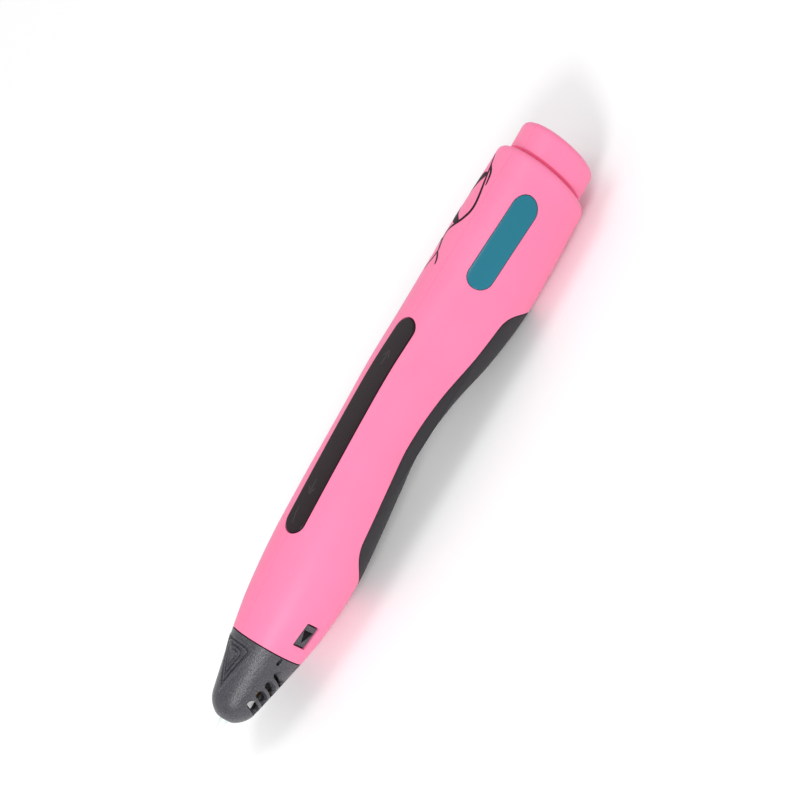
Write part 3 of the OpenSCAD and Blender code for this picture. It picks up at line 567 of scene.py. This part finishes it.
PINK = (0.93, 0.214, 0.393)
# The nose's own grey, and the pale tone of the glints painted into it
NOSE_GREY, NOSE_GLINT_TONE = (0.032, 0.031, 0.040), (0.2, 0.195, 0.225)
MATERIALS = {
    "shell": varied("shell", PINK, 0.46, 5200, 0.0000035, drift=0.025, scatter=0.08, gloss=0.4),
    "grip": varied("grip", (0.018, 0.016, 0.020), 0.6, 4200, 0.000012, drift=0.08, gloss=0.4),
    "key": varied("key", (0.018, 0.011, 0.013), 0.28, 3800, 0.0000012, drift=0.1, gloss=0.18),
    "lens": lens_material(),
    "nose": spark_plastic("nose", NOSE_GREY, NOSE_GLINT_TONE, 0.31, 0.00009),
    "steel": varied("steel", (0.62, 0.63, 0.65), 0.3, 2400, 0.000002, metal=1.0, stretch=(0.12, 1, 1)),
    "brass": varied("brass", (0.72, 0.52, 0.22), 0.3, 2400, 0.000002, metal=1.0),
    "frame": varied("frame", (0.16, 0.17, 0.19), 0.55, 3000, 0.000006),
    "silicone": varied("silicone", (0.78, 0.78, 0.75), 0.5, 3000, 0.000003, scatter=0.3),
    "board": varied("board", (0.02, 0.16, 0.075), 0.32, 1800, 0.000004, drift=0.15, coat=0.3),
    "chip": varied("chip", (0.022, 0.022, 0.025), 0.5, 6000, 0.000004),
    "display": varied("display", (0.012, 0.016, 0.02), 0.12, 1500, 0.000001, coat=0.5),
    "ptfe": varied("ptfe", (0.84, 0.84, 0.81), 0.42, 2500, 0.000002, scatter=0.3),
    "lead_red": varied("lead_red", (0.62, 0.1, 0.13), 0.45, 3000, 0.000003),
    "lead_black": varied("lead_black", (0.025, 0.025, 0.028), 0.45, 3000, 0.000003),
    "lead_orange": varied("lead_orange", (0.8, 0.33, 0.05), 0.45, 3000, 0.000003),
    "ceramic": varied("ceramic", (0.86, 0.86, 0.84), 0.34, 5000, 0.000003, drift=0.03, scatter=0.2),
    "kapton": varied("kapton", (0.62, 0.33, 0.06), 0.2, 900, 0.00001, drift=0.2, coat=0.4),
    "holder": varied("holder", (0.72, 0.66, 0.53), 0.6, 3000, 0.000006),
}
INK = varied("ink", (0.024, 0.005, 0.013), 0.55, 5200, 0.000002, gloss=0.12)
BLACK = varied("black", (0.006, 0.004, 0.005), 0.6, 5200, 0.000002, gloss=0.12)
MARK = varied("mark", (0.048, 0.043, 0.046), 0.45, 5200, 0.000002, gloss=0.2)


def finish_piece(piece, body, slot, *nodes, look=None):
    """Gives a piece the material of its slot, or the look given instead, puts it on its body and hides the
    CAD nodes that it stands for.
    """
    piece.data.materials.clear()
    piece.data.materials.append(look or MATERIALS[slot])
    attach(piece, body)
    if nodes:
        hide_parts(*nodes)


def dress_cad_nodes():
    """Every CAD node takes the material of its slot."""
    for part in frame["record"]["subparts"]:
        node = frame["nodes"][part["node"]]
        node.data.materials.clear()
        node.data.materials.append(MATERIALS[part["material_slot"]])
        node.data.shade_smooth()
        node.data.set_sharp_from_angle(angle=math.radians(28))


# ---- the case -----------------------------------------------------------------------------------

CASE, COVER = case_skin(), cover_skin()
WINDOW = (BUTTON_L + 2 * WINDOW_GAP, BUTTON_W + 2 * WINDOW_GAP)


def screw_hole(x, z):
    """A screw's hole in the right shell, a little longer than wide because the skin slopes there."""
    angle = 2 * math.pi - math.acos((z - float(centre_at(x))) / float(radius_at(x)))
    return Hole(CASE, x, angle, 2 * SCREW_R / 0.98, 2 * SCREW_R, fillet=0.2)


def make_shell(name, left):
    """Half the case, cut for the key, a release button and the grip cover, and the lens or the screws."""
    side = math.radians(90)
    span = (0, math.pi) if left else (math.pi, 2 * math.pi)
    l, w = KEY_L + 2 * KEY_GAP, KEY_W + 2 * KEY_GAP
    edges = [
        Hole(CASE, KEY_X, 0.0 if left else 2 * math.pi, l, w, fillet=0.2),
        Hole(CASE, BUTTON_X, side if left else 3 * side, *WINDOW, fillet=0.12, corner=0.4),
        Line(CASE, fillet=SEAM_FILLET, angle=span[0]),
        Line(CASE, fillet=SEAM_FILLET, angle=span[1], side=-1),
        Line(CASE, fillet=0.25, u=0.0),
    ]
    cover_edge = CoverEdge(CASE, fillet=0.3, side=1, gap=0.0)
    if left:
        l, w = LENS_L + 2 * LENS_GAP, LENS_W + 2 * LENS_GAP
        edges.append(Hole(CASE, LENS_X, LENS_ANGLE, l, w, fillet=0.08, turn=LENS_TURN))
        edges.append(cover_edge)
    else:
        edges.append(Mirrored(cover_edge))
        edges += [screw_hole(x, z) for x, z in SCREWS]
    piece = build_skin(name, CASE, ((0, CASE.length), span), edges, step=0.7)
    finish_piece(piece, "handle", "shell", name.replace("_skin", ""))


def make_grip_cover():
    """The dark cover under the pen, which wraps up round both sides."""
    edge = CoverEdge(CASE, fillet=0.45, side=-1, gap=COVER_GAP)
    span = ((CASE.u_at(COVER_START - 1), CASE.u_at(COVER_END + 1)), (math.radians(80), math.radians(280)))
    piece = build_skin("grip_cover_skin", COVER, span, [edge], step=0.8)
    finish_piece(piece, "handle", "grip", "grip_cover")


# ---- key, lens and buttons ----------------------------------------------------------------------

def key_top(x, y):
    """Height of the key's top, which is nearly flat across and follows the back along."""
    sunk, crown = 0.02, 0.12
    return back_z(x) - sunk - crown * (2 * y / KEY_W) ** 2


def make_key():
    """The rocker key: a long crowned bar with round ends and a soft edge."""
    edge = 0.5
    rings = []
    for drop in (KEY_FLOOR, KEY_FLOOR + 0.6, KEY_FLOOR + 1.2):
        flat = stadium(KEY_L, KEY_W, 25)
        rings.append(np.column_stack([flat[:, 0] + KEY_X, flat[:, 1], np.full(len(flat), drop)]))
    insets = [edge * (1 - math.cos(math.radians(t))) for t in range(0, 91, 9)]
    insets += list(np.linspace(edge, KEY_W / 2 - 0.02, 9)[1:])
    for inset in insets:
        flat = stadium(KEY_L - 2 * inset, KEY_W - 2 * inset, 25)
        x, y = flat[:, 0] + KEY_X, flat[:, 1]
        rings.append(np.column_stack([x, y, key_top(x, y) - rounding(np.full(len(x), inset), edge)]))
    piece = ringed("feed_key_bar", rings)
    finish_piece(piece, "key", "key", "feed_key")


def on_skin(x, angle, depth):
    """Points at one depth under the case's skin, at places x and angles."""
    return CASE.outer(CASE.u_at(x), angle, np.full(len(x), depth))


def make_lens():
    """The display's window: a slot that follows the skin, with a soft edge."""
    edge, sunk = 0.3, 0.03
    turn = math.radians(LENS_TURN)
    insets = [edge * (1 - math.cos(math.radians(t))) for t in range(0, 91, 15)]
    levels = [(0, WALL), (0, 0.8)]
    levels += [(i, sunk + float(rounding(i, edge))) for i in insets]
    levels += [(i, sunk) for i in np.linspace(edge, LENS_W / 2 - 0.02, 9)[1:]]
    rings = []
    for inset, depth in levels:
        flat = stadium(LENS_L - 2 * inset, LENS_W - 2 * inset, 25)
        x = LENS_X + flat[:, 0] * math.cos(turn) - flat[:, 1] * math.sin(turn)
        across = flat[:, 1] * math.cos(turn) + flat[:, 0] * math.sin(turn)
        rings.append(on_skin(x, LENS_ANGLE + np.arcsin(across / radius_at(x)), depth))
    piece = ringed("display_lens_window", rings)
    finish_piece(piece, "handle", "lens", "display_lens")


def make_button(name, body, node, side):
    """A release button: a plate that follows the skin, with a sunk arrowhead that points to the tip."""
    step, edge_r = 0.1, 0.3
    arrow_tip, arrow_base, arrow_slope, square, arrow_depth = -1.95, 1.45, 0.49, 0.898, 0.5
    xs = np.linspace(-BUTTON_L / 2, BUTTON_L / 2, int(BUTTON_L / step) + 1)
    zs = np.linspace(-BUTTON_W / 2, BUTTON_W / 2, int(BUTTON_W / step) + 1)
    gx, gz = np.meshgrid(xs, zs, indexing="ij")
    edge = np.minimum(BUTTON_L / 2 - np.abs(gx), BUTTON_W / 2 - np.abs(gz))
    into = np.minimum(arrow_base - gx, ((gx - arrow_tip) * arrow_slope - np.abs(gz)) * square)
    sunk = arrow_depth * ease(into / 0.14 + 0.5)
    top = radius_at(BUTTON_X + gx) - BUTTON_SINK - rounding(edge, edge_r) - sunk
    verts, nx, nz = [], len(xs), len(zs)
    for y in (top, np.full(top.shape, BUTTON_FOOT)):
        verts += [(BUTTON_X + gx[i, k], side * y[i, k], gz[i, k]) for i in range(nx) for k in range(nz)]
    faces, low = [], nx * nz
    for i in range(nx - 1):
        for a in range(i * nz, i * nz + nz - 1):
            faces.append((a, a + 1, a + nz + 1, a + nz))
            faces.append((low + a, low + a + nz, low + a + nz + 1, low + a + 1))
    rim = [i * nz for i in range(nx)] + [(nx - 1) * nz + k for k in range(1, nz)]
    rim += [i * nz + nz - 1 for i in range(nx - 2, -1, -1)] + list(range(nz - 2, 0, -1))
    faces += [(p, q, q + low, p + low) for p, q in zip(rim, rim[1:] + rim[:1], strict=True)]
    finish_piece(solid(name, placed(verts), faces), body, "nose", node)
    make_flange(name.replace("plate", "flange"), body, side)


def make_flange(name, body, side):
    """The rim behind a release button that keeps it in its window."""
    rings = []
    for inset, y in ((0.08, -0.1), (0, -0.02), (0, 0.17), (0.08, 0.25)):
        flat = rounded_box(BUTTON_L + 1.2 - 2 * inset, BUTTON_W + 1.4 - 2 * inset, 0.5, 5)
        rings.append([(BUTTON_X + x, side * (BUTTON_FOOT + y), z) for x, z in flat])
    finish_piece(ringed(name, rings), body, "nose")


def make_arrow(name, body, side):
    """The dark arrowhead let into a release button."""
    flat = np.array([(-1.8, 0), (1.38, -1.57), (1.38, 1.57)])
    face = float(radius_at(BUTTON_X)) - BUTTON_SINK
    rings = []
    for scale, depth in ((1.0, 0.6), (1.0, 0.14), (0.93, 0.1)):
        rings.append([(BUTTON_X + scale * x, side * (face - depth), scale * z) for x, z in flat])
    finish_piece(ringed(name, rings), body, "nose", look=BLACK)


def make_spring(name, node, side):
    """The coil under a release button."""
    coil_r, wire_r, turns, foot_y, length, travel = 1.2, 0.2, 3, 6.25, 2.6, 0.8
    rings = []
    for t in np.linspace(0, 1, turns * 24 + 1):
        a = 2 * math.pi * turns * t
        y = foot_y + wire_r + (length - 2 * wire_r) * t
        ring = []
        for w in np.linspace(0, 2 * math.pi, 10, endpoint=False):
            r = coil_r + wire_r * math.cos(w)
            ring.append((BUTTON_X + r * math.cos(a), side * (y + wire_r * math.sin(w)), r * math.sin(a)))
        rings.append(ring)
    piece = ringed(name, rings)
    finish_piece(piece, "handle", "steel", node)
    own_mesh(piece)


# ---- nose ---------------------------------------------------------------------------------------

def nose_skin():
    """The nose from the nozzle's hole over a dome and a cone to its rim, and the collar behind it. Inside,
    the rows go from the floor behind the nozzle along the wall to the collar's bore."""
    front, face_r, hole_r, dome_x, floor_x = 4.0, 2.4, 1.55, 9.2, 5.6
    dome_r = NOSE_R - (RIM - dome_x) * math.tan(NOSE_ANGLE)
    gx, gr = dome_x - front, dome_r - face_r
    lean = gx * math.sin(NOSE_ANGLE) - gr * math.cos(NOSE_ANGLE)
    r = -(gx * gx + gr * gr) / (2 * lean)
    at = (dome_x + r * math.sin(NOSE_ANGLE), dome_r - r * math.cos(NOSE_ANGLE))
    start = math.degrees(math.atan2(face_r - at[1], front - at[0]))
    dome = arc(at, r, start, 90 + math.degrees(NOSE_ANGLE), 40)
    rows = [(front + 0.25, hole_r, floor_x, hole_r), (front + 0.03, hole_r + 0.15, floor_x, hole_r + 0.15)]
    rows += [(front, hole_r + 0.35, floor_x, 1.9)]
    rows += [(x, q, floor_x + 4.2 * i / 39, 2.6 + 2.7 * i / 39) for i, (x, q) in enumerate(dome)]
    cone_x, cone_r = RIM - dome_x, NOSE_R - dome_r
    for t in np.linspace(0, 1, 60)[1:-1]:
        rows.append((dome_x + cone_x * t, dome_r + cone_r * t, 9.8 + 14.4 * t, 5.3 + 3.4 * t))
    rows += [(RIM - 0.06, NOSE_R - 0.02, 24.3, 8.6), (RIM, NOSE_R - 0.12, 24.4, 8.5), (RIM, 9.3, 24.8, 8.1)]
    rows += [(RIM, COLLAR_R + 0.05, 25.1, 7.7), (RIM + 0.05, COLLAR_R, 25.2, COLLAR_BORE)]
    rows += [(x, COLLAR_R, x, COLLAR_BORE) for x in np.linspace(27, COLLAR_END - 0.4, 10)]
    for x, drop in ((COLLAR_END - 0.1, 0.08), (COLLAR_END, 0.3)):
        rows.append((x, COLLAR_R - drop, x, COLLAR_BORE))
    return Skin(rows, lambda x: np.zeros_like(x))


NOSE = nose_skin()
BADGE_TIP, BADGE_BASE, BADGE_HALF = 9.6, 24.8, 6.4
BADGE_GROOVES = ((0.95, 0.5, 0.5), (2.05, 0.5, 0.5), (2.95, 0.45, 0.42))  # inset, width and depth of each
BADGE_RAISED, BADGE_SLOPE, GROOVE_SLOPE = 0.3, 0.26, 0.16
BADGE_FROM, BADGE_TO, BADGE_ANGLE, BADGE_STEP = 9.2, 25.5, 0.9, 0.16  # where the mesh is finer, and how fine


def relief(u, a):
    """How deep the nose's outside is sunk: its badge is a raised round triangle with grooves, tip forward."""
    x = NOSE.x_at(u)
    y = NOSE.column(u, NOSE.rows[:, 1]) * np.abs(a)
    turn, blunt = math.atan2(BADGE_HALF, BADGE_BASE - BADGE_TIP), 1.6
    to_side = (BADGE_TIP - x) * math.sin(turn) + y * math.cos(turn)
    to_base = x - BADGE_BASE
    away = np.log(np.exp(blunt * to_side) + np.exp(blunt * to_base)) / blunt
    raised = BADGE_RAISED * ease(0.5 - away / BADGE_SLOPE)
    for inset, width, depth in BADGE_GROOVES:
        raised = raised - depth * ease((width / 2 - np.abs(away + inset)) / GROOVE_SLOPE + 0.5)
    on_outside = (x > 9) & (u < NOSE.u_at(RIM - 0.4))
    return np.where(on_outside, -raised, 0.0)


def make_nose():
    """The nose cover, with vents and slits on both sides, and the collar's notches for the buttons."""
    edges = []
    for s in (-1, 1):
        for k in range(VENTS):
            x, angle, turn = VENT_FIRST + k * VENT_PITCH, s * math.radians(VENT_ANGLE), 90 + s * VENT_TURN
            edges.append(Hole(NOSE, x, angle, VENT_L, VENT_W, fillet=0.14, turn=turn))
        for slit in SLITS:
            edges.append(Hole(NOSE, SLIT_X, s * math.radians(slit), SLIT_L, SLIT_W, fillet=0.12, corner=0.2))
        x, l = (NOTCH_START + NOTCH_STOP) / 2, NOTCH_STOP - NOTCH_START
        edges.append(Hole(NOSE, x, s * math.pi / 2, l, NOTCH_W, fillet=0.12, corner=0.2))
    span = ((0, NOSE.length), (-math.pi, math.pi))
    badge = ((NOSE.u_at(BADGE_FROM), NOSE.u_at(BADGE_TO)), (-BADGE_ANGLE, BADGE_ANGLE), BADGE_STEP)
    piece = build_skin("nose_cover_skin", NOSE, span, edges, 0.45, NOSE_FLAT, relief, badge)
    finish_piece(piece, "nose", "nose", "nose_cover")


# ---- printed lines ------------------------------------------------------------------------------

def smooth_line(points, steps):
    """A Catmull-Rom curve through points, with some steps from each to the next."""
    points = np.array(points, float)
    t = np.linspace(0, len(points) - 1, steps * (len(points) - 1) + 1)
    k = np.clip(t.astype(int), 0, len(points) - 2)
    f = (t - k)[:, None]
    a, b = points[np.maximum(k - 1, 0)], points[k]
    c, d = points[k + 1], points[np.minimum(k + 2, len(points) - 1)]
    return 0.5 * (2 * b + (c - a) * f + (2 * a - 5 * b + 4 * c - d) * f**2 + (3 * b - a - 3 * c + d) * f**3)


def ribbon(name, points, width, surface, ends, lift=0.025):
    """A thin printed line through points on a surface; its ends narrow to a share of its width."""
    line = smooth_line(points, 14)
    way = np.gradient(line, axis=0)
    way /= np.linalg.norm(way, axis=1)[:, None]
    swell = ends + (1 - ends) * np.sin(np.linspace(0, math.pi, len(line))) ** 0.7
    off = np.stack([-way[:, 1], way[:, 0]], axis=1) * (width / 2 * swell)[:, None]
    across = np.linspace(-1, 1, 2 + 2 * int(width))
    tops = [surface(line + f * off, -lift) for f in across]
    feet = [surface(line + f * off, 2 * lift) for f in across[::-1]]
    rings = np.stack(tops + feet, axis=1)
    return ringed(name, list(rings))


def on_back(points, depth):
    """Points (x, millimetres round from the back seam) laid on the case."""
    return on_skin(points[:, 0], points[:, 1] / radius_at(points[:, 0]), depth)


def on_key(points, depth):
    """Points (x, y) laid on the top of the key."""
    x, y = points[:, 0], points[:, 1]
    return np.column_stack([x, y, key_top(x, y) - depth])


# A trailing stem with leaves; each line has its width, the share of it left at the ends, and its points
ORNAMENT = {
    "vine_stem": (
        0.95,
        0.35,
        [(165, -8.6), (161, -5.4), (153, -1.8), (148, -3.4), (143, -8.8), (137.5, -6.2), (132, -9.4)],
    ),
    "vine_twig_tail": (0.75, 0.3, [(162.2, -6.4), (160, -3.4), (157.2, -2.2)]),
    "vine_twig_nose": (0.7, 0.3, [(138, -6.4), (136, -4.2), (134.2, -3.4)]),
    "vine_leaf_tail": (2.4, 0.05, [(159.6, -4.8), (158.4, -7.8), (154.8, -10.4)]),
    "vine_leaf_middle": (2.6, 0.05, [(146.8, -4.3), (148.0, -8.4), (151.6, -11.6)]),
    "vine_leaf_nose": (2.2, 0.05, [(141.4, -8.8), (139.2, -12.2), (135.2, -13.8)]),
}
# A short stroke and two arrows on the key, in the same terms
KEY_MARKS = {
    "key_mark_feed_line": (0.26, 0.6, [(57.6, 0.2), (60.2, 0.9), (62.4, 1.0)]),
    "key_mark_feed_left": (0.28, 0.8, [(68.4, -1.1), (66.4, 0)]),
    "key_mark_feed_right": (0.28, 0.8, [(68.4, 1.1), (66.4, 0)]),
    "key_mark_feed_stem": (0.28, 0.8, [(70.8, 0), (67.2, 0)]),
    "key_mark_back_left": (0.28, 0.8, [(107.0, -1.1), (109.0, 0)]),
    "key_mark_back_right": (0.28, 0.8, [(107.0, 1.1), (109.0, 0)]),
    "key_mark_back_stem": (0.28, 0.8, [(104.6, 0), (108.2, 0)]),
}


def make_prints():
    """The ink on the case's back and the faint marks on the key."""
    for name, (width, ends, points) in ORNAMENT.items():
        finish_piece(ribbon(name, points, width, on_back, ends), "handle", "shell", look=INK)
    for name, (width, ends, points) in KEY_MARKS.items():
        piece = ribbon(name, points, width, on_key, ends, lift=0.012)
        finish_piece(piece, "key", "key", look=MARK)


# ---- camera, floor and light --------------------------------------------------------------------

def make_camera():
    """The pen seen from its left side and above, rolled so that its tail points up to the right."""
    elevation, roll = math.radians(43.5), math.radians(60)
    distance, aim_x, aim_up = 0.75, 99.2, 1.94  # metres from the pen, and where it aims in millimetres
    forward = Vector((0, math.cos(elevation), -math.sin(elevation)))
    up = Vector((0, math.sin(elevation), math.cos(elevation)))
    along = Vector((1, 0, 0))
    right = along * math.cos(roll) - up * math.sin(roll)
    top = along * math.sin(roll) + up * math.cos(roll)
    aim = Vector((TIP_X + aim_x * MM, 0, LINE_Z)) + up * aim_up * MM
    data = bpy.data.cameras.new("camera")
    data.sensor_width, data.lens = 36, 79 * distance / 0.46  # the lens grows with the distance
    data.clip_start, data.clip_end = 0.1, 20
    camera = bpy.data.objects.new("camera", data)
    turn = Matrix((right, top, -forward)).transposed().to_4x4()
    camera.matrix_world = Matrix.Translation(aim - forward * distance) @ turn
    bpy.context.scene.collection.objects.link(camera)
    bpy.context.scene.camera = camera


def area_light(name, place, size, power):
    """A soft round lamp that looks at the middle of the pen."""
    data = bpy.data.lights.new(name, "AREA")
    data.shape, data.size, data.energy = "DISK", size, power
    light = bpy.data.objects.new(name, data)
    light.location = place
    light.rotation_euler = (Vector((0, 0, 0.01)) - Vector(place)).to_track_quat("-Z", "Y").to_euler()
    bpy.context.scene.collection.objects.link(light)


def make_studio():
    """A pale floor, even light from all round and four soft lamps."""
    half = 3
    corners = [(-half, -half, 0), (half, -half, 0), (half, half, 0), (-half, half, 0)]
    mesh = bpy.data.meshes.new("floor")
    mesh.from_pydata(corners, [], [(0, 1, 2, 3)])
    floor = bpy.data.objects.new("floor", mesh)
    bpy.context.scene.collection.objects.link(floor)
    floor.data.materials.append(varied("floor", (0.96, 0.96, 0.96), 0.8, 40, 0.00001, drift=0.004, gloss=0.1))
    world = bpy.data.worlds.new("studio")
    world.use_nodes = True
    world.node_tree.nodes["Background"].inputs["Color"].default_value = (1, 1, 1, 1)
    world.node_tree.nodes["Background"].inputs["Strength"].default_value = 0.72
    bpy.context.scene.world = world
    area_light("key_light", (-0.42, -0.55, 0.56), 0.24, 3.0)
    area_light("top_light", (0.12, -0.02, 0.95), 0.35, 1.5)
    area_light("back_light", (0.1, 0.7, 0.6), 0.5, 0.4)
    area_light("front_light", (-0.1, -0.8, 0.16), 0.5, 0.3)
    bpy.context.scene.view_settings.view_transform = "Standard"


make_camera()
make_studio()
dress_cad_nodes()
make_shell("left_shell_skin", left=True)
make_shell("right_shell_skin", left=False)
make_grip_cover()
make_key()
make_lens()
make_button("left_release_plate", "left_release", "left_release_button", -1)
make_button("right_release_plate", "right_release", "right_release_button", 1)
make_arrow("left_release_arrow", "left_release", -1)
make_arrow("right_release_arrow", "right_release", 1)
make_spring("left_release_coil", "left_release_spring", -1)
make_spring("right_release_coil", "right_release_spring", 1)
make_nose()
make_prints()
